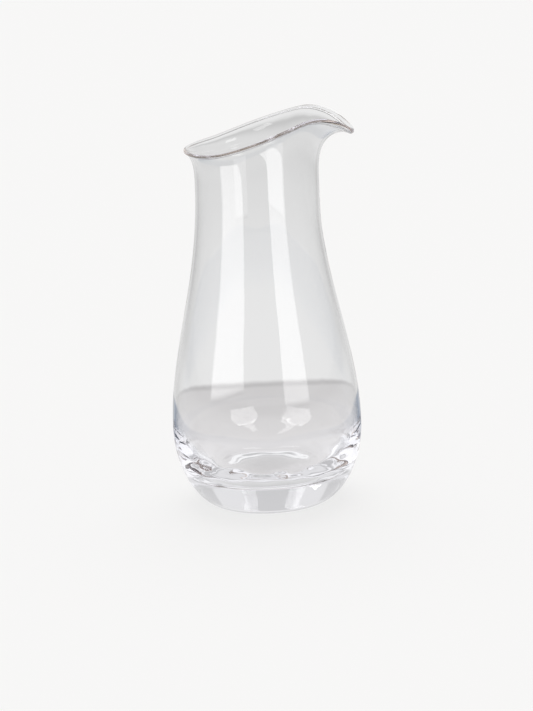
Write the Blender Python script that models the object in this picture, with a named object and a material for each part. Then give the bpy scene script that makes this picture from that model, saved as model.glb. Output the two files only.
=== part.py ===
"""Mouth-blown glass pitcher with a heavy base, a waisted neck and a slanted mouth drawn into a spout.

Metres, +Z up. The origin is on the pitcher's axis, at the level that it stands on, and the spout
points along +X. Foot, wall, lip and spout are one piece of glass, so the pitcher is one solid. It is
lofted from upright half-sections, one for each angle around the axis. A section starts under the
base, climbs the outside, turns over the lip and comes down the inside to the middle of the floor.
"""
from math import cos, exp, hypot, pi, radians, remainder, sin, tan

import bmesh
import bpy

# Outside of the body
FOOT_RADIUS = 0.0349            # outer edge of the flat ring that it stands on
BELLY_RADIUS = 0.0579           # widest part
BELLY_HEIGHT = 0.0470           # from the table up to the widest part
NECK_RADIUS = 0.0369            # narrowest part
SHOULDER_HEIGHT = 0.1530        # from the widest part up to the narrowest
HEEL_SPREAD = 1.564             # how fully the heel spreads out from the foot
SHOULDER_SKEW = 0.089           # above 0 the shoulder leaves the belly sooner

# Glass
WALL = 0.0020                   # neck
BELLY_WALL = 0.0018             # thinnest, where the glass was blown widest
LIP = 0.0034                    # fire-polished bead around the mouth
LIP_SWELL = 12.0                # how suddenly the wall swells into that bead
BASE = 0.0188                   # from the table to the middle of the floor inside
CAVITY_RISE = 0.0060            # from the widest part up to where the wall starts to thicken downwards
FLOOR_SPREAD = 5.00             # how flat and wide the floor inside is
FLOOR_LIFT = 2.00               # how slowly the floor turns up into the wall

# Underside
FOOT_RING = 0.0056              # width of the flat standing ring
PUNT_DEPTH = 0.0022             # hollow inside that ring
PUNT_SHAPE = 4.0                # above 2 the hollow is flatter in the middle and steeper at its edge

# Slanted mouth
MOUTH_RISE = 0.0190             # from the neck up to the lip at the back
MOUTH_FLARE = 0.0052            # from the middle of the neck's wall out to the lip
SLANT_ANGLE = radians(18.6)     # climb of the lip towards the spout
SLANT_START = 0.0254            # how far behind the axis the climb begins
SLANT_BLEND = 0.0100            # length over which the level back runs into the climb
FLARE_TURN = radians(48.0)      # how far the wall has turned outwards at the lip
FLARE_SHAPE = 2.87              # above 2 the neck stays straight for longer before it flares

# Spout
SPOUT_REACH = 0.0230            # from the middle of the neck's wall out to the tip
SPOUT_SPREAD = radians(29.0)    # half-angle over which the spout is drawn out
SPOUT_TURN = radians(89.0)      # how far the wall has turned outwards at the tip
SPOUT_DROP = 0.0193             # how far the tip is bent down below the slant
DROP_START = 0.0253             # how far in front of the axis it starts to bend down
DROP_SHAPE = 2.20               # above 1 the bend is gentle at first
DRAW = 0.0013                   # how far the neck is drawn out below the spout
DRAW_LENGTH = 0.0350            # height of the neck over which it is drawn out

# Facets
AROUND = 64
PUNT_RINGS = 5
HEEL_RINGS = 10
BODY_RINGS = 14
MOUTH_RINGS = 12
LIP_RINGS = 6
FLOOR_RINGS = 12

NECK_HEIGHT = BELLY_HEIGHT + SHOULDER_HEIGHT
NECK_MIDDLE = NECK_RADIUS - WALL / 2
TIP_RADIUS = NECK_MIDDLE + SPOUT_REACH
PUNT_RADIUS = FOOT_RADIUS - FOOT_RING
CAVITY_SHARE = CAVITY_RISE / SHOULDER_HEIGHT
SMOOTH_ANGLE = radians(30)


def steps(count):
    """Even shares from just above 0 up to 1."""
    return [i / count for i in range(1, count + 1)]


def ease(share):
    """Share of a change that starts and ends gently, held at 0 below it and at 1 above it."""
    share = min(max(share, 0.0), 1.0)
    return share * share * (3 - 2 * share)


def spout_weight(angle):
    """1 at the spout, falling off on both sides of it as a bell curve."""
    return exp(-((remainder(angle, 2 * pi) / SPOUT_SPREAD) ** 2))


def underside():
    """The hollow, with its rings closer together towards the steep edge, and the flat ring around it."""
    points = []
    for share in steps(PUNT_RINGS):
        out = sin(share * pi / 2)
        points.append((PUNT_RADIUS * out, PUNT_DEPTH * (1 - out ** PUNT_SHAPE)))
    return points + [(FOOT_RADIUS, 0.0)]


def heel():
    """Rounded quarter from the standing ring, level with the table, up to the upright belly."""
    points = []
    for share in steps(HEEL_RINGS):
        turn = share * pi / 2
        radius = FOOT_RADIUS + (BELLY_RADIUS - FOOT_RADIUS) * sin(turn) ** (2 / HEEL_SPREAD)
        points.append((radius, BELLY_HEIGHT * (1 - cos(turn))))
    return points


def shoulder_wave(share):
    """Angle of the shoulder's cosine wave, from 0 at the belly to half a turn at the neck."""
    return pi * share + SHOULDER_SKEW * sin(pi * share)


def body_outside(share):
    """Half a cosine wave from the belly, at share 0, in to the neck, at share 1."""
    radius = NECK_RADIUS + (BELLY_RADIUS - NECK_RADIUS) * (1 + cos(shoulder_wave(share))) / 2
    return radius, BELLY_HEIGHT + SHOULDER_HEIGHT * share


def body_inside(share):
    """The same curve set in by the wall, square to the glass. The wall thins evenly towards the belly."""
    radius, height = body_outside(share)
    wall = BELLY_WALL + (WALL - BELLY_WALL) * share
    pace = pi * (1 + SHOULDER_SKEW * cos(pi * share))
    along_r = -(BELLY_RADIUS - NECK_RADIUS) / 2 * sin(shoulder_wave(share)) * pace
    length = hypot(along_r, SHOULDER_HEIGHT)
    return radius - wall * SHOULDER_HEIGHT / length, height + wall * along_r / length


def drawn(point, angle):
    """A point of the body, drawn out towards the spout where it is close below the mouth."""
    radius, height = point
    share = (height - NECK_HEIGHT + DRAW_LENGTH) / DRAW_LENGTH
    return radius + DRAW * spout_weight(angle) * ease(share), height


def lip_middle(angle):
    """Middle of the lip: an even flare with the spout drawn out of it, climbing and then bending down."""
    flare = MOUTH_FLARE + (SPOUT_REACH - MOUTH_FLARE) * spout_weight(angle)
    radius = NECK_MIDDLE + flare
    forward = radius * cos(angle)
    climb = forward + SLANT_START
    height = NECK_HEIGHT + MOUTH_RISE + tan(SLANT_ANGLE) * (climb + hypot(climb, SLANT_BLEND)) / 2
    bend = max(forward - DROP_START, 0.0) / (TIP_RADIUS - DROP_START)
    return radius, height - SPOUT_DROP * bend ** DROP_SHAPE


def mouth(angle):
    """Outside, lip and inside of the mouth: a superellipse from the upright neck out to the lip, with
    half of the glass on each side of it and a half circle over its end. All round it is as high as at
    the back, above a straight neck, but towards the spout it starts further down."""
    power = 2 / FLARE_SHAPE
    weight = spout_weight(angle)
    turn_end = FLARE_TURN + (SPOUT_TURN - FLARE_TURN) * weight
    lip_radius, lip_height = lip_middle(angle)
    neck = NECK_MIDDLE + DRAW * weight
    start = NECK_HEIGHT + (1 - weight) * (lip_height - MOUTH_RISE - NECK_HEIGHT)
    wide = (lip_radius - neck) / (1 - cos(turn_end) ** power)
    tall = (lip_height - start) / sin(turn_end) ** power
    outside, inside = [], []
    for share in steps(MOUTH_RINGS):
        turn = turn_end * share ** (1 / power)
        radius = neck + wide * (1 - cos(turn) ** power)
        height = start + tall * sin(turn) ** power
        along_r, along_z = wide * sin(turn) ** (2 - power), tall * cos(turn) ** (2 - power)
        length = hypot(along_r, along_z)
        out_r, out_z = along_z / length, -along_r / length
        half = (WALL + (LIP - WALL) * share ** LIP_SWELL) / 2
        outside.append((radius + half * out_r, height + half * out_z))
        inside.append((radius - half * out_r, height - half * out_z))
    over = []
    for share in steps(LIP_RINGS)[:-1]:
        out, up = cos(pi * share) * LIP / 2, sin(pi * share) * LIP / 2
        over.append((lip_radius + out * out_r - up * out_z, lip_height + out * out_z + up * out_r))
    return outside + over + inside[::-1]


def floor_inside():
    """Quarter of a superellipse: the wall thickens downwards from just above the belly and turns in to a
    wide, nearly flat floor. The middle of the floor is left out."""
    wall_radius, wall_height = body_inside(CAVITY_SHARE)
    points = []
    for share in steps(FLOOR_RINGS)[-2::-1]:
        turn = share * pi / 2
        radius = wall_radius * sin(turn) ** (2 / FLOOR_SPREAD)
        height = BASE + (wall_height - BASE) * (1 - cos(turn) ** (2 / FLOOR_LIFT))
        points.append((radius, height))
    return points


def section(angle):
    """Radius and height of every point of the half-section at this angle, without its two ends."""
    shares = steps(BODY_RINGS)
    down = [1 + (CAVITY_SHARE - 1) * share for share in [0.0] + shares]
    outside = [drawn(body_outside(share), angle) for share in shares]
    inside = [drawn(body_inside(share), angle) for share in down]
    return underside() + heel() + outside + mouth(angle) + inside + floor_inside()


def loft(mesh):
    """Joins the half-sections with quads, and closes the two ends with fans of triangles."""
    bm = bmesh.new()
    columns = []
    for i in range(AROUND):
        angle = 2 * pi * i / AROUND
        points = section(angle)
        columns.append([bm.verts.new((r * cos(angle), r * sin(angle), z)) for r, z in points])
    below = bm.verts.new((0.0, 0.0, PUNT_DEPTH))
    above = bm.verts.new((0.0, 0.0, BASE))
    for i, here in enumerate(columns):
        there = columns[(i + 1) % AROUND]
        bm.faces.new((below, there[0], here[0]))
        bm.faces.new((above, here[-1], there[-1]))
        for j in range(len(here) - 1):
            bm.faces.new((here[j], there[j], there[j + 1], here[j + 1]))
    bm.to_mesh(mesh)
    bm.free()


def clear_glass():
    """Clear glass with a faint cool tint."""
    material = bpy.data.materials.new("clear_glass")
    material.use_nodes = True
    shader = material.node_tree.nodes["Principled BSDF"]
    shader.inputs["Base Color"].default_value = (0.93, 0.96, 0.97, 1.0)
    shader.inputs["Roughness"].default_value = 0.02
    shader.inputs["Metallic"].default_value = 0.0
    shader.inputs["IOR"].default_value = 1.52
    shader.inputs["Transmission Weight"].default_value = 1.0
    return material


def glass_pitcher():
    """The pitcher, shaded smooth except across sharp edges."""
    mesh = bpy.data.meshes.new("glass_pitcher")
    loft(mesh)
    mesh.shade_smooth()
    mesh.set_sharp_from_angle(angle=SMOOTH_ANGLE)
    mesh.materials.append(clear_glass())
    pitcher = bpy.data.objects.new("glass_pitcher", mesh)
    bpy.context.collection.objects.link(pitcher)


for old in list(bpy.data.objects):
    bpy.data.objects.remove(old, do_unlink=True)
glass_pitcher()
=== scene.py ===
"""Looks of a mouth-blown glass pitcher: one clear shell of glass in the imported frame, on a pale stage.

Metres, +Z up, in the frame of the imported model. The pitcher's axis is Z, it stands at Z = 0 and its
spout points along +X. The camera looks along +Y and a little down.
"""
from math import cos, pi, radians, sin, tan

import bpy
import numpy as np
from mathutils import Matrix, Vector


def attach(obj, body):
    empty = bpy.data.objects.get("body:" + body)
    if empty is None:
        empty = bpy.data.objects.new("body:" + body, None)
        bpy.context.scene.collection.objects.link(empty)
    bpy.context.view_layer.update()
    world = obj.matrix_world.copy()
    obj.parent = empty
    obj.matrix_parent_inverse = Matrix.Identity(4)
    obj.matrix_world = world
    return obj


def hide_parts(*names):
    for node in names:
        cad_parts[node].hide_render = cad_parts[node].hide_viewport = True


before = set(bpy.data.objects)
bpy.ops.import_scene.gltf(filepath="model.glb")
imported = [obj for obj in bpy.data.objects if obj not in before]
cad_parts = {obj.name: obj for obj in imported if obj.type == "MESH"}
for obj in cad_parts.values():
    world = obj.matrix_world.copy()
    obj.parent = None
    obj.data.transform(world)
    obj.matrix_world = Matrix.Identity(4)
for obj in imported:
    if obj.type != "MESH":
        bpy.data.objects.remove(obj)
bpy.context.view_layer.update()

# Outside of the body
FOOT_RADIUS = 0.0349            # outer edge of the flat ring that it stands on
BELLY_RADIUS = 0.0579           # widest part
BELLY_HEIGHT = 0.0470           # from the table up to the widest part
NECK_RADIUS = 0.0369            # narrowest part
SHOULDER_HEIGHT = 0.1530        # from the widest part up to the narrowest
HEEL_SPREAD = 1.564             # how fully the heel spreads out from the foot
SHOULDER_SKEW = 0.089           # above 0 the shoulder leaves the belly sooner

# Glass
WALL = 0.0018                   # neck
BELLY_WALL = 0.0018             # thinnest, where the glass was blown widest
LIP = 0.0022                    # fire-polished bead around the mouth
TIP = 0.0040                    # the same bead at the tip of the spout, where more glass has gathered
LIP_SWELL = 24.0                # how suddenly the wall swells into that bead
BASE = 0.0188                   # from the table to the middle of the floor inside
CAVITY_BELLY = 0.0530           # from the table up to where the wall starts to thicken downwards
FLOOR_SPREAD = 5.00             # how flat and wide the floor inside is
FLOOR_LIFT = 2.00               # how slowly the floor turns up into the wall
RIPPLE = 0.00013                # unevenness of the thick glass inside
RIPPLE_TOP = 0.046              # height at which it starts
RIPPLE_WAVES = (                # waves around the pitcher, radians in a metre of height, and start
    (7, 430, 0.0),
    (11, -620, 1.3),
    (17, 910, 2.1),
)
CORD_SCALE = (150, 150, 22)     # cords in a metre of glass, across and up
CORD_DETAIL = 0.0               # no finer ones between them
CORD_DEPTH = 0.00005            # how far they stand out
IOR = 1.52
TINT = (0.45, 0.40, 0.95, 1.0)  # colour that thick glass lets through
TINT_DENSITY = 0.5

# Underside
FOOT_RING = 0.0056              # width of the flat standing ring
PUNT_DEPTH = 0.0022             # hollow inside that ring
PUNT_SHAPE = 4.0                # above 2 the hollow is flatter in the middle and steeper at its edge

# Slanted mouth
MOUTH_RISE = 0.0190             # from the neck up to the lip at the back
MOUTH_FLARE = 0.0055            # from the middle of the neck's wall out to the lip
SLANT_ANGLE = radians(18.6)     # climb of the lip towards the spout
SLANT_START = 0.0254            # how far behind the axis the climb begins
SLANT_BLEND = 0.0100            # length over which the level back runs into the climb
FLARE_TURN = radians(58.0)      # how far the wall has turned outwards at the lip
FLARE_SHAPE = 2.87              # above 2 the neck stays straight for longer before it flares

# Spout
SPOUT_REACH = 0.0224            # from the middle of the neck's wall out to the tip
SPOUT_SPREAD = radians(29.0)    # half-angle over which the spout is drawn out
SPOUT_TURN = radians(89.0)      # how far the wall has turned outwards at the tip
SPOUT_DROP = 0.0193             # how far the tip is bent down below the slant
DROP_START = 0.0253             # how far in front of the axis it starts to bend down
DROP_SHAPE = 2.20               # above 1 the bend is gentle at first
TIP_DROOP = 0.0008              # how far the edge of the tip is turned down in the end
DROOP_SHAPE = 8.0               # above 1 it turns down only close to the edge
DRAW = 0.0013                   # how far the neck is drawn out below the spout
DRAW_LENGTH = 0.0350            # height of the neck over which it is drawn out

# Fineness of the shell
AROUND = 256
PUNT_RINGS = 14
RING_RINGS = 6
HEEL_RINGS = 44
BODY_RINGS = 62
MOUTH_RINGS = 66
END_FINENESS = 1.4              # above 1 the mouth's rings are closer together towards the lip
LIP_RINGS = 16
FLOOR_RINGS = 40
RELAX_PASSES = 20
RELAX_SHARES = (0.50, -0.52)    # towards the middle of the neighbours, and back

WHITE = (1.0, 1.0, 1.0, 1.0)

# Stage, in brightness where 1 is white
BACKGROUND = 0.93               # floor and room behind the pitcher, as the camera sees them
SHADE = 0.13                    # part of the floor's brightness that a shadow can take away
FLOOR_GAP = 0.0003              # from the standing ring down to the floor
FLOOR_RADIUS = 6.0
ROOM_LIGHT = 0.45               # what the room adds to the light on the floor
LAMP_ANGLE = radians(50)        # how broad the overhead light is
LAMP_TILT = radians(20)         # its lean towards the camera

# Kinds of light, told apart by how often it was mirrored and how many surfaces it passed
ONCE = 0.5                      # above this it was mirrored once or more
TWICE = 1.5                     # above this twice or more, so it was led along inside the glass
LONG_TURNS = 14.5               # above this so often that it has run a long way inside the glass
BOTH_SIDES = 3.5                # above this it passed the near and the far side of the pitcher

# Table before a wall, as it shows through the glass
TABLE_REACH = 0.277             # half the width of the rounded square table
TABLE_ROUND = 3.0               # 2 is a disc, above it the table is squarer
TABLE_NEAR = 0.71               # beside the pitcher, where the painted light on the table is brightest
TABLE_FAR = 0.60                # along the table's edge, where that painted light has fallen off
TABLE_COLOR = (1.012, 0.992, 1.0, 1.0)  # barely pink
PAINTED_SHADE_UNDER = -0.16             # painted shade added under the middle of the pitcher
SHADE_UNDER_REACH = 0.045             # from there out to where no painted shade is added
PAINTED_LIGHT_RING = 0.05               # painted light added in a ring around its foot
LIGHT_RING_REACH = (0.020, 0.055, 0.110)  # from the axis to its inner edge, middle and outer edge
PAINTED_LIGHT_SIDES = 1.05              # painted light: times brighter to both sides
LIT_SIDES_REACH = 0.050             # from the middle across to where they start
RIM = 0.50                      # dark line along the edge of the table
RIM_WIDTH = 0.010
RIM_FADE = 0.014                # width over which the wall past it grows lighter
WALL_NEAR = 0.83                # just past the table's edge
WALL_FAR = 0.73
WALL_REACH = (0.50, 1.20)       # where it changes from near to far
LINE = 0.57                     # dark line along the foot of the wall, only through one side of the pitcher
LINE_REACH = (1.27, 1.445, 1.62)    # its lower edge, middle and upper edge
STRIP = 0.80                    # bright strip above that line
STRIP_REACH = (1.60, 1.85)
UPPER_MIDDLE = 0.60             # upper wall, straight behind the pitcher
MIDDLE_FACING = (0.966, 0.982)  # cosines of the angle from the middle of the wall where it changes
UPPER_SIDE = 0.78               # to both sides of that
SIDE_FACING = (0.80, 0.84)
UPPER_EDGE = 0.58               # further round, and then as bright as the lower wall
EDGE_FACING = (0.50, 0.65)
UPPER_RISE = (0.0, 0.15)        # sines of the elevation where the lower wall changes into the upper one
GAP = 0.20                      # dark gap between them
GAP_BOTTOM = (0.02, 0.03)
GAP_TOP = (0.15, 0.17)

# The same room, mirrored once
ROOM_DIM = 0.36                 # low down at the sides and in front
ROOM_NEAR = 0.66                # closer to the table there
ROOM_REACH = (0.50, 1.30)
ROOM_UPPER = 0.52               # higher up there
ROOM_FACING = (0.70, 0.97)      # cosines of the angle from the middle of the wall where it turns bright
TABLE_DIM = 0.26                # table to both sides of the pitcher
TABLE_DIM_COLOR = (0.82, 1.00, 1.30, 1.0)   # cool
DIM_REACH = (0.10, 0.18)        # from the axis to where the table turns dim
CEILING = 0.85                  # bright top of the room
CEILING_RISE = (0.35, 0.75)     # sines of the elevation where the walls change into it

# The same room for light that was led along inside the glass
LED_BEHIND = 0.50
LED_FRONT = 1.10
LED_FACING = (0.10, 0.35)       # cosines of the angle from the middle of the wall where it turns dim
LED_TOP = 1.00
LONG = 0.24                     # after a long way inside the glass the light is nearly lost
LONG_WALL = 0.80                # except where it came from the wall
LONG_FACING = (0.10, 0.40)
LONG_RISE = (0.50, 0.70)        # sines of the elevation where that ends
LONG_COLOR = (1.15, 1.00, 0.82, 1.0)        # warm

# Lit panels to both sides of the camera, each with two panes, which only mirrored light meets
PANEL_DISTANCE = 0.200          # from the axis
PANEL_STEPS = 32
PANEL_GLOW = 2.45
PANEL_BEHIND = 0.55             # share of it that the far side of the pitcher shows
PANE_TOP = 0.195                # of the lower pane
PANE_BOTTOM = 0.345             # of the upper pane
PANEL_TOP = 0.420
PANE_SOFT = 0.09                # share of a pane's height over which its lower end fades

# Slats of a blind in front of each panel, lit from below
SLAT_EDGES = (0.140, 0.200)     # from the axis to both edges of a slat
SLAT_STACKS = (                 # slats, lowest height and step
    (10, 0.075, 0.010),
    (9, 0.175, 0.030),
)
SLAT_GLOW = 4.0
ARC_GLOW = 8.0                  # brightest ones, between these two heights
ARC_LOW = 0.150
ARC_HIGH = 0.170

LIGHT_BOUNCES = 128             # light runs a long way along the inside of the wall

# Camera
CAMERA_DISTANCE = 1.8
CAMERA_ELEVATION = radians(14.2)
CAMERA_ROLL = radians(2.686)
CAMERA_LOOK = Vector((0.00152, 0.0, 0.09013))
CAMERA_LENS = 148.9

NECK_HEIGHT = BELLY_HEIGHT + SHOULDER_HEIGHT
NECK_MIDDLE = NECK_RADIUS - WALL / 2
TIP_RADIUS = NECK_MIDDLE + SPOUT_REACH
PUNT_RADIUS = FOOT_RADIUS - FOOT_RING

ANGLES = np.linspace(0, 2 * pi, AROUND, endpoint=False)[:, None]


def bell(angle, spread):
    """1 at no angle, falling off on both sides of it as a bell curve."""
    return np.exp(-(((angle + pi) % (2 * pi) - pi) / spread) ** 2)


SPOUT = bell(ANGLES, SPOUT_SPREAD)


def steps(count):
    """Even shares from just above 0 up to 1."""
    return np.arange(1, count + 1)[None, :] / count


def ease(share):
    """Share of a change that starts and ends gently, held at 0 below it and at 1 above it."""
    share = np.clip(share, 0, 1)
    return share * share * (3 - 2 * share)


def underside():
    """Hollow that is deepest in the middle and falls with a power of the radius, then the flat ring."""
    share = steps(PUNT_RINGS)
    ring = steps(RING_RINGS)
    radius = np.hstack([PUNT_RADIUS * share, PUNT_RADIUS + FOOT_RING * ring])
    height = np.hstack([PUNT_DEPTH * (1 - share ** PUNT_SHAPE), 0 * ring])
    return radius, height


def heel(turn):
    """Quarter turn from the ring to the belly: the radius grows with a power of the sine."""
    radius = FOOT_RADIUS + (BELLY_RADIUS - FOOT_RADIUS) * np.sin(turn) ** (2 / HEEL_SPREAD)
    return radius, BELLY_HEIGHT * (1 - np.cos(turn))


def shoulder(share):
    """Outside and inside of half a skewed cosine wave from the belly in to the neck. The inside lies a
    wall's thickness away, square to the glass."""
    wave = pi * share + SHOULDER_SKEW * np.sin(pi * share)
    pace = pi * (1 + SHOULDER_SKEW * np.cos(pi * share))
    swing = (BELLY_RADIUS - NECK_RADIUS) / 2
    radius = NECK_RADIUS + swing * (1 + np.cos(wave))
    height = BELLY_HEIGHT + SHOULDER_HEIGHT * share
    along_r = -swing * np.sin(wave) * pace
    length = np.hypot(along_r, SHOULDER_HEIGHT)
    wall = BELLY_WALL + (WALL - BELLY_WALL) * share
    inside = radius - wall * SHOULDER_HEIGHT / length, height + wall * along_r / length
    return (radius, height), inside


def drawn(radius, height):
    """The wall drawn out towards the spout, more and more as it nears the mouth."""
    return radius + DRAW * SPOUT * ease((height - NECK_HEIGHT) / DRAW_LENGTH + 1), height + 0 * SPOUT


def lip_middle():
    """An even flare with a bell curve added at the spout. It climbs along a softened ramp in X and bends
    down at the tip by a power of how far forward it is."""
    radius = NECK_MIDDLE + MOUTH_FLARE + (SPOUT_REACH - MOUTH_FLARE) * SPOUT
    forward = radius * np.cos(ANGLES)
    climb = forward + SLANT_START
    height = NECK_HEIGHT + MOUTH_RISE + tan(SLANT_ANGLE) * (climb + np.hypot(climb, SLANT_BLEND)) / 2
    bend = np.clip(forward - DROP_START, 0, None) / (TIP_RADIUS - DROP_START)
    return radius, height - SPOUT_DROP * bend ** DROP_SHAPE


def mouth():
    """A superellipse from the upright neck out to the lip, bent down at the spout's edge by a power of how
    far out it is. Half of the glass lies on each side of it, swelling into a bead, with a half circle over
    its end. All round it is as high as at the back, but at the spout it starts lower."""
    power = 2 / FLARE_SHAPE
    turn_end = FLARE_TURN + (SPOUT_TURN - FLARE_TURN) * SPOUT
    lip_radius, lip_height = lip_middle()
    neck = NECK_MIDDLE + DRAW * SPOUT
    wide = (lip_radius - neck) / (1 - np.cos(turn_end) ** power)
    start = NECK_HEIGHT + (1 - SPOUT) * (lip_height - MOUTH_RISE - NECK_HEIGHT)
    tall = (lip_height - start) / np.sin(turn_end) ** power
    share = 1 - (1 - steps(MOUTH_RINGS)) ** END_FINENESS
    turn = turn_end * share ** (1 / power)
    out = 1 - np.cos(turn) ** power
    radius = neck + wide * out
    droop = TIP_DROOP * SPOUT * (out / out[:, -1:]) ** DROOP_SHAPE
    height = start + tall * np.sin(turn) ** power - droop
    along_r, along_z = np.gradient(radius, axis=1), np.gradient(height, axis=1)
    length = np.hypot(along_r, along_z)
    out_r, out_z = along_z / length, -along_r / length
    lip = LIP + (TIP - LIP) * SPOUT
    half = (WALL + (lip - WALL) * share ** LIP_SWELL) / 2
    over = steps(LIP_RINGS)[:, :-1] * pi
    end_r, end_z = out_r[:, -1:], out_z[:, -1:]
    bead_r = radius[:, -1:] + lip / 2 * (np.cos(over) * end_r - np.sin(over) * end_z)
    bead_z = height[:, -1:] + lip / 2 * (np.cos(over) * end_z + np.sin(over) * end_r)
    inner_r, inner_z = radius - half * out_r, height - half * out_z
    return (np.hstack([radius + half * out_r, bead_r, inner_r[:, ::-1]]),
            np.hstack([height + half * out_z, bead_z, inner_z[:, ::-1]]))


def ripple(height):
    """Sum of sine waves that run around and up the glass, growing downwards until half-way to the floor."""
    waves = sum(np.sin(around * ANGLES + up * height + start) for around, up, start in RIPPLE_WAVES)
    return waves * ease(2 * (RIPPLE_TOP - height) / (RIPPLE_TOP - BASE))


def floor_inside():
    """Quarter of a superellipse with ripples: below the cavity's widest part the radius shrinks with a root
    of what is left of the depth, so that the wall thickens downwards and turns in to a flat floor. The
    middle of the floor is left out."""
    depth = np.sin(steps(FLOOR_RINGS)[:, :-1] * pi / 2)
    height = CAVITY_BELLY + (BASE - CAVITY_BELLY) * depth
    radius = (BELLY_RADIUS - BELLY_WALL) * (1 - depth ** FLOOR_LIFT) ** (1 / FLOOR_SPREAD)
    return radius + RIPPLE * ripple(height), height + 0 * ANGLES


def relaxed(line):
    """Evens out sudden changes of bend: again and again each point goes half-way to the middle of its two
    neighbours and then a little further back, which keeps the size. Both ends of a line stay."""
    line = line.copy()
    for share in RELAX_PASSES * RELAX_SHARES:
        line[:, 1:-1] += share * ((line[:, :-2] + line[:, 2:]) / 2 - line[:, 1:-1])
    return line


def sections():
    """Radius and height of every half-section, one row for each angle: under the base, up the outside,
    over the lip and down the inside to the floor."""
    share = steps(BODY_RINGS)
    outside, _ = shoulder(share)
    cavity_share = (CAVITY_BELLY - BELLY_HEIGHT) / SHOULDER_HEIGHT
    _, inside = shoulder(1 + (cavity_share - 1) * np.hstack([[[0.0]], share]))
    whole = np.ones((AROUND, 1))
    lines = []
    below, heel_line = underside(), heel(steps(HEEL_RINGS) * pi / 2)
    outer, over, inner, floor = drawn(*outside), mouth(), drawn(*inside), floor_inside()
    for i in range(2):
        climb = relaxed(np.hstack([heel_line[i] * whole, outer[i]]))
        descent = relaxed(np.hstack([inner[i], floor[i]]))
        lines.append(np.hstack([below[i] * whole, climb, over[i], descent]))
    return lines


def shell_mesh(name):
    """Turns the sections about the axis into points, joins them with quads and closes both ends with
    fans of triangles about a point on the axis."""
    radius, height = sections()
    points = np.stack([radius * np.cos(ANGLES), radius * np.sin(ANGLES), height], axis=-1).reshape(-1, 3)
    rings = radius.shape[1]
    here = np.arange(AROUND)[:, None] * rings
    there = np.roll(here, -1, axis=0)
    along = np.arange(rings - 1)[None, :]
    quads = np.stack([here + along, there + along, there + along + 1, here + along + 1], axis=-1)
    below, above = len(points), len(points) + 1
    under = np.hstack([np.full_like(here, below), there, here])
    floor = np.hstack([np.full_like(here, above), here + rings - 1, there + rings - 1])
    points = np.vstack([points, [0, 0, PUNT_DEPTH], [0, 0, BASE]])
    mesh = bpy.data.meshes.new(name)
    mesh.from_pydata(points, [], quads.reshape(-1, 4).tolist() + under.tolist() + floor.tolist())
    mesh.shade_smooth()
    return mesh


class Value:
    """A socket that carries a number, so that shader maths reads as arithmetic."""

    def __init__(self, tree, socket):
        self.tree = tree
        self.socket = socket

    def math(self, operation, *values):
        """Adds a maths node for this operation on the values."""
        node = self.tree.node("ShaderNodeMath", {"operation": operation}, dict(enumerate(values)))
        return Value(self.tree, node.outputs[0])

    def __add__(self, other):
        return self.math("ADD", self, other)

    def __sub__(self, other):
        return self.math("SUBTRACT", self, other)

    def __rsub__(self, other):
        return self.math("SUBTRACT", other, self)

    def __mul__(self, other):
        return self.math("MULTIPLY", self, other)

    def __pow__(self, other):
        return self.math("POWER", self, other)

    def __abs__(self):
        return self.math("ABSOLUTE", self)

    __radd__ = __add__
    __rmul__ = __mul__

    def above(self, limit):
        """1 where this value is above the limit, and 0 elsewhere."""
        return self.math("GREATER_THAN", self, limit)

    def ramp(self, low, high, at_low, at_high):
        """Eases from one number to another as this value goes from low to high."""
        return self.tree.value("ShaderNodeMapRange", "Result", {"interpolation_type": "SMOOTHSTEP"}, {
            "Value": self, "From Min": low, "From Max": high, "To Min": at_low, "To Max": at_high})


class Tree:
    """The nodes of one material, lamp or world."""

    def __init__(self, owner):
        owner.use_nodes = True
        self.nodes = owner.node_tree.nodes
        self.links = owner.node_tree.links
        self.nodes.clear()

    def node(self, kind, settings={}, sockets={}):
        """Adds a node, makes its settings and then gives its sockets a value or a link."""
        node = self.nodes.new(kind)
        for name, value in settings.items():
            setattr(node, name, value)
        for name, value in sockets.items():
            if isinstance(value, Value):
                value = value.socket
            if isinstance(value, bpy.types.NodeSocket):
                self.links.new(value, node.inputs[name])
            else:
                node.inputs[name].default_value = value
        return node

    def value(self, kind, output, settings={}, sockets={}):
        """Adds a node and gives the number that it puts out."""
        return Value(self, self.node(kind, settings, sockets).outputs[output])


def clear_glass():
    """Clear glass, fire-polished, with the faint upright cords of blown glass in its surface and a cool
    tint that shows where it is thick."""
    material = bpy.data.materials.new("clear_glass")
    tree = Tree(material)
    place = tree.node("ShaderNodeTexCoord").outputs["Object"]
    stretched = tree.node("ShaderNodeMapping", {}, {"Vector": place, "Scale": CORD_SCALE})
    cords = tree.node("ShaderNodeTexNoise", {}, {
        "Vector": stretched.outputs[0],
        "Scale": 1.0,
        "Detail": CORD_DETAIL,
    })
    uneven = tree.node("ShaderNodeBump", {}, {"Distance": CORD_DEPTH, "Height": cords.outputs["Fac"]})
    surface = tree.node("ShaderNodeBsdfPrincipled", {}, {
        "Base Color": WHITE,
        "Roughness": 0.0,
        "IOR": IOR,
        "Transmission Weight": 1.0,
        "Normal": uneven.outputs[0],
    })
    depth = tree.node("ShaderNodeVolumeAbsorption", {}, {
        "Color": TINT,
        "Density": TINT_DENSITY,
    })
    tree.node("ShaderNodeOutputMaterial", {}, {
        "Surface": surface.outputs[0],
        "Volume": depth.outputs[0],
    })
    return material


def glass_pitcher():
    """The whole pitcher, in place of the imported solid."""
    mesh = shell_mesh("pitcher_glass")
    mesh.materials.append(clear_glass())
    pitcher = bpy.data.objects.new("pitcher_glass", mesh)
    bpy.context.collection.objects.link(pitcher)
    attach(pitcher, "root")
    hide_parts("glass_pitcher")


def mix(one, other, share):
    """One value at share 0, the other at share 1."""
    return one + (other - one) * share


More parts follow.
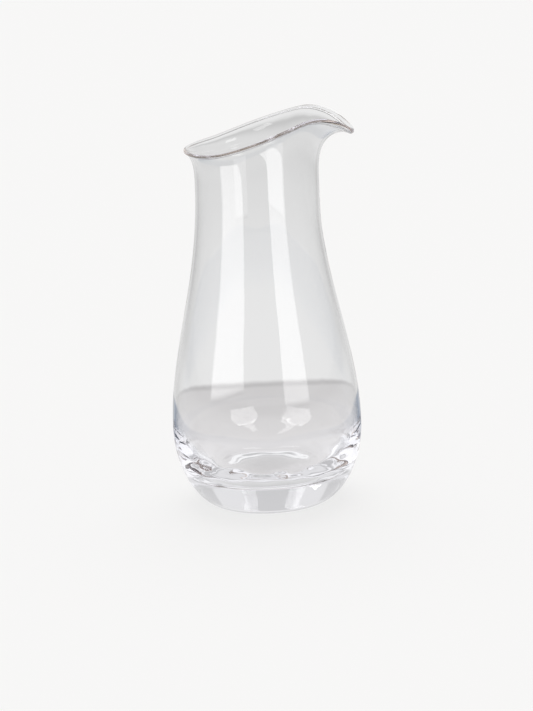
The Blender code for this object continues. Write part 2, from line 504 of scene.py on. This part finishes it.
def seen_by(tree, camera, through, mirrored, led, lost):
    """One number for rays straight from the camera, one for rays that only passed through the glass, one
    for rays mirrored once, one for rays led along inside the glass and one for rays nearly lost in there.
    What lights the floor is the same from everywhere."""
    path = tree.node("ShaderNodeLightPath")
    is_camera = Value(tree, path.outputs["Is Camera Ray"])
    turns = Value(tree, path.outputs["Glossy Depth"])
    is_dull = Value(tree, path.outputs["Diffuse Depth"]).above(ONCE)
    other = mix(mix(through, mirrored, turns.above(ONCE)), led, turns.above(TWICE))
    other = mix(other, lost, turns.above(LONG_TURNS))
    return mix(mix(other, ROOM_LIGHT, is_dull), camera, is_camera)


def tinted(tree, color, other, share):
    """One colour at share 0, the other at share 1. A Mix node has its colours as sockets 6 and 7, and
    puts theirs out as output 2."""
    blend = tree.node("ShaderNodeMix", {"data_type": "RGBA"}, {0: share, 6: color, 7: other})
    return blend.outputs[2]


def facing_wall(tree, place):
    """Cosine of the angle between a place's direction and the middle of the wall behind the pitcher."""
    level = tree.node("ShaderNodeVectorMath", {"operation": "MULTIPLY"}, {0: place, 1: (1, 1, 0)})
    away = tree.node("ShaderNodeVectorMath", {"operation": "NORMALIZE"}, {0: level.outputs[0]})
    return tree.value("ShaderNodeVectorMath", "Value", {"operation": "DOT_PRODUCT"},
                      {0: away.outputs[0], 1: (0, 1, 0)})


def band(value, low, middle, high):
    """0 up to low and from high on, easing to 1 at the middle."""
    return value.ramp(low, middle, 0, 1) * value.ramp(middle, high, 1, 0)


def led_room(facing):
    """Brightness of the room for light led along inside the glass."""
    return facing.ramp(*LED_FACING, LED_FRONT, LED_BEHIND)


def studio_world():
    """Pale room. Through the glass it is a wall with a gap and an upper part, and mirrored it is a dim room
    that is bright behind the pitcher and overhead."""
    world = bpy.data.worlds.new("studio")
    tree = Tree(world)
    place = tree.node("ShaderNodeTexCoord").outputs["Generated"]
    height = tree.value("ShaderNodeSeparateXYZ", "Z", {}, {0: place})
    facing = facing_wall(tree, place)
    top = height.ramp(*CEILING_RISE, 0, 1)
    upper = facing.ramp(*MIDDLE_FACING, UPPER_SIDE, UPPER_MIDDLE)
    upper = mix(upper, UPPER_EDGE, facing.ramp(*SIDE_FACING, 1, 0))
    upper = mix(upper, WALL_NEAR, facing.ramp(*EDGE_FACING, 1, 0))
    gap = height.ramp(*GAP_BOTTOM, 0, 1) * height.ramp(*GAP_TOP, 1, 0)
    through = mix(mix(WALL_NEAR, upper, height.ramp(*UPPER_RISE, 0, 1)), GAP, gap)
    room = mix(ROOM_UPPER, WALL_NEAR, facing.ramp(*ROOM_FACING, 0, 1))
    mirrored = mix(room, CEILING, top)
    led = mix(led_room(facing), LED_TOP, top)
    lost = mix(facing.ramp(*LONG_FACING, LONG, LONG_WALL), LONG, height.ramp(*LONG_RISE, 0, 1))
    strength = seen_by(tree, BACKGROUND, through, mirrored, led, lost)
    color = tinted(tree, WHITE, LONG_COLOR, seen_by(tree, 0, 0, 0, 0, 1))
    backdrop = tree.node("ShaderNodeBackground", {}, {"Color": color, "Strength": strength})
    tree.node("ShaderNodeOutputWorld", {}, {"Surface": backdrop.outputs[0]})
    bpy.context.scene.world = world


def table_top(reach, across):
    """Brightness of the table, with painted light and shade on it. The painted light falls from the pitcher
    to the table's edge, with painted shade in the middle, a brighter ring of painted light around the foot,
    sides brightened by painted light and a dark rim."""
    # painted light, falling off from the pitcher to the table's edge
    table = reach.ramp(0, TABLE_REACH, TABLE_NEAR, TABLE_FAR)
    # painted light in a ring around the foot
    table = table + PAINTED_LIGHT_RING * band(reach, *LIGHT_RING_REACH)
    # painted shade under the middle of the pitcher
    table = table + reach.ramp(0, SHADE_UNDER_REACH, PAINTED_SHADE_UNDER, 0)
    # painted light to both sides
    table = table * abs(across).ramp(0, LIT_SIDES_REACH, 1, PAINTED_LIGHT_SIDES)
    return mix(table, RIM, reach.ramp(TABLE_REACH - RIM_WIDTH, TABLE_REACH, 0, 1))


def pale_floor():
    """Plain for the camera, where it takes a shadow. Through the glass it is a table before a wall, and
    mirrored that table is dim to both sides. The table is a superellipse, so the reach of a place on it
    is a root of the sum of powers of X and Y."""
    material = bpy.data.materials.new("floor")
    tree = Tree(material)
    place = tree.node("ShaderNodeNewGeometry").outputs["Position"]
    across = tree.value("ShaderNodeSeparateXYZ", "X", {}, {0: place})
    along = tree.value("ShaderNodeSeparateXYZ", "Y", {}, {0: place})
    reach = (abs(across) ** TABLE_ROUND + abs(along) ** TABLE_ROUND) ** (1 / TABLE_ROUND)
    beyond = reach.ramp(TABLE_REACH, TABLE_REACH + RIM_FADE, 0, 1)
    table = table_top(reach, across)

    wall = reach.ramp(*WALL_REACH, WALL_NEAR, WALL_FAR)
    lined = mix(wall, LINE, band(reach, *LINE_REACH))
    lined = mix(lined, STRIP, reach.ramp(*STRIP_REACH, 0, 1))
    is_behind = tree.value("ShaderNodeLightPath", "Transmission Depth").above(BOTH_SIDES)
    through = mix(table, mix(lined, wall, is_behind), beyond)

    facing = facing_wall(tree, place)
    is_facing = facing.ramp(*ROOM_FACING, 0, 1)
    outer = reach.ramp(*DIM_REACH, 0, 1)
    dim = outer * (1 - is_facing) * (1 - beyond)
    side = reach.ramp(*ROOM_REACH, ROOM_NEAR, ROOM_DIM)
    mirrored = mix(mix(table, TABLE_DIM, dim), mix(side, wall, is_facing), beyond)
    led = mix(table, led_room(facing), outer)

    strength = seen_by(tree, BACKGROUND - SHADE, through, mirrored, led, LONG)
    color = tinted(tree, WHITE, TABLE_COLOR, seen_by(tree, 0, 1 - beyond, 0, 0, 0))
    color = tinted(tree, color, TABLE_DIM_COLOR, seen_by(tree, 0, 0, dim, 0, 0))
    color = tinted(tree, color, LONG_COLOR, seen_by(tree, 0, 0, 0, 0, 1))
    glow = tree.node("ShaderNodeEmission", {}, {"Color": color, "Strength": strength})
    dull = tree.node("ShaderNodeBsdfDiffuse", {}, {"Color": (SHADE, SHADE, SHADE, 1)})
    both = tree.node("ShaderNodeAddShader", {}, {0: glow.outputs[0], 1: dull.outputs[0]})
    is_camera = tree.node("ShaderNodeLightPath").outputs["Is Camera Ray"]
    seen = tree.node("ShaderNodeMixShader", {}, {"Fac": is_camera, 1: glow.outputs[0], 2: both.outputs[0]})
    tree.node("ShaderNodeOutputMaterial", {}, {"Surface": seen.outputs[0]})
    return material


def studio_floor():
    """Large disc just under the pitcher."""
    turn = np.linspace(0, 2 * pi, AROUND, endpoint=False)
    rim = np.stack([FLOOR_RADIUS * np.cos(turn), FLOOR_RADIUS * np.sin(turn),
                    0 * turn - FLOOR_GAP], axis=-1)
    mesh = bpy.data.meshes.new("floor")
    mesh.from_pydata(rim, [], [list(range(AROUND))])
    mesh.materials.append(pale_floor())
    floor = bpy.data.objects.new("floor", mesh)
    bpy.context.collection.objects.link(floor)


def overhead_light():
    """Broad light from above and in front that only the floor shows, for the pitcher's soft shadow."""
    lamp = bpy.data.lights.new("overhead_light", "SUN")
    lamp.angle = LAMP_ANGLE
    lamp.energy = pi * (1 - ROOM_LIGHT) / cos(LAMP_TILT)
    light = bpy.data.objects.new("overhead_light", lamp)
    light.rotation_euler = (-LAMP_TILT, 0, 0)
    light.visible_glossy = False
    light.visible_transmission = False
    light.visible_camera = False
    bpy.context.collection.objects.link(light)


def studio_light(name, points, faces):
    """Makes a light that only the glass shows from points and quads. Gives its mesh and its empty nodes."""
    mesh = bpy.data.meshes.new(name)
    mesh.from_pydata(points.reshape(-1, 3), [], faces.reshape(-1, 4).tolist())
    material = bpy.data.materials.new(name)
    mesh.materials.append(material)
    light = bpy.data.objects.new(name, mesh)
    light.visible_camera = False
    light.visible_diffuse = False
    light.visible_shadow = False
    bpy.context.collection.objects.link(light)
    return mesh, Tree(material)


def glow_for(tree, share, strength):
    """Glows with that strength where the share is 1, and lets the light pass where it is 0."""
    clear = tree.node("ShaderNodeBsdfTransparent")
    glow = tree.node("ShaderNodeEmission", {}, {"Strength": strength})
    lit = tree.node("ShaderNodeMixShader", {}, {"Fac": share, 1: clear.outputs[0], 2: glow.outputs[0]})
    tree.node("ShaderNodeOutputMaterial", {}, {"Surface": lit.outputs[0]})


def lit_panel(name, inner, outer, low_inner, low_outer):
    """Upright panel on a cylinder about the pitcher's axis, from one azimuth to another, counted from the
    camera's side to the right. The lower edge of its lower pane runs evenly from one height to another."""
    share = np.linspace(0, 1, PANEL_STEPS + 1)[:, None]
    azimuth = inner + (outer - inner) * share
    low = low_inner + (low_outer - low_inner) * share
    level = np.hstack([low, 0 * low + PANE_TOP, 0 * low + PANE_BOTTOM, 0 * low + PANEL_TOP])
    points = np.stack([PANEL_DISTANCE * np.sin(azimuth) + 0 * level,
                       -PANEL_DISTANCE * np.cos(azimuth) + 0 * level, level], axis=-1)
    column = level.shape[1]
    low_end = np.arange(PANEL_STEPS)[:, None] * column + np.arange(0, column, 2)
    quads = np.stack([low_end, low_end + 1, low_end + column + 1, low_end + column], axis=-1)
    mesh, tree = studio_light(name, points, quads)
    rise = mesh.attributes.new("rise", "FLOAT", "POINT")
    rise.data.foreach_set("value", np.tile([0.0, 1.0], level.size // 2))
    is_mirrored = tree.value("ShaderNodeLightPath", "Glossy Depth").above(ONCE)
    is_behind = tree.value("ShaderNodeLightPath", "Transmission Depth").above(BOTH_SIDES)
    up = tree.value("ShaderNodeAttribute", "Fac", {"attribute_name": "rise"})
    glow_for(tree, is_mirrored, up.ramp(0, PANE_SOFT, 0, 1) * mix(1, PANEL_BEHIND, is_behind) * PANEL_GLOW)


def lit_slats(name, starts, ends):
    """Level slats one above the other, each a piece of a ring about the pitcher's axis from one azimuth to
    another, which both stacks have of their own. Only light that the far side of the pitcher has mirrored
    once meets their lit undersides."""
    rows = np.array([(low + step * i, start, end)
                     for (count, low, step), start, end in zip(SLAT_STACKS, starts, ends)
                     for i in range(count)])[None]
    height, start, end = rows[..., :1], rows[..., 1:2], rows[..., 2:]
    reach = np.array(SLAT_EDGES)
    azimuth = start + (end - start) * np.linspace(0, 1, PANEL_STEPS + 1)[:, None, None]
    points = np.stack([reach * np.sin(azimuth), -reach * np.cos(azimuth),
                       height + 0 * reach * azimuth], axis=-1)
    width = 2 * rows.shape[1]
    edge = np.arange(PANEL_STEPS)[:, None] * width + np.arange(0, width, 2)
    quads = np.stack([edge, edge + width, edge + width + 1, edge + 1], axis=-1)
    _, tree = studio_light(name, points, quads)
    turns = tree.value("ShaderNodeLightPath", "Glossy Depth")
    is_mirrored = turns.above(ONCE) * (1 - turns.above(TWICE))
    is_behind = tree.value("ShaderNodeLightPath", "Transmission Depth").above(BOTH_SIDES)
    here = tree.node("ShaderNodeNewGeometry")
    is_below = Value(tree, here.outputs["Backfacing"])
    up = tree.value("ShaderNodeSeparateXYZ", "Z", {}, {0: here.outputs["Position"]})
    is_arc = up.above(ARC_LOW) * (1 - up.above(ARC_HIGH))
    glow_for(tree, is_mirrored * is_behind * is_below, mix(SLAT_GLOW, ARC_GLOW, is_arc))


def photo_camera():
    """Long lens, a little above the pitcher, with the picture's slight roll."""
    back = Vector((0, -cos(CAMERA_ELEVATION), sin(CAMERA_ELEVATION)))
    up = Vector((0, sin(CAMERA_ELEVATION), cos(CAMERA_ELEVATION)))
    right = Vector((1, 0, 0))
    across = cos(CAMERA_ROLL) * right - sin(CAMERA_ROLL) * up
    upright = sin(CAMERA_ROLL) * right + cos(CAMERA_ROLL) * up
    lens = bpy.data.cameras.new("camera")
    lens.lens = CAMERA_LENS
    camera = bpy.data.objects.new("camera", lens)
    turn = Matrix((across, upright, back)).transposed().to_4x4()
    camera.matrix_world = Matrix.Translation(CAMERA_LOOK + CAMERA_DISTANCE * back) @ turn
    bpy.context.collection.objects.link(camera)
    bpy.context.scene.camera = camera


glass_pitcher()
studio_world()
studio_floor()
overhead_light()
lit_panel("right_panel", inner=radians(20.5), outer=radians(48), low_inner=0.065, low_outer=0.063)
lit_panel("left_panel", inner=radians(-24.5), outer=radians(-63), low_inner=0.087, low_outer=0.064)
lit_slats("right_slats", starts=np.radians([55, 43]), ends=np.radians([19, 22]))
lit_slats("left_slats", starts=np.radians([-30, -30]), ends=np.radians([-69, -51]))
photo_camera()
light_paths = bpy.context.scene.cycles
light_paths.max_bounces = LIGHT_BOUNCES
light_paths.glossy_bounces = LIGHT_BOUNCES
light_paths.transmission_bounces = LIGHT_BOUNCES
bpy.context.scene.view_settings.view_transform = "Standard"
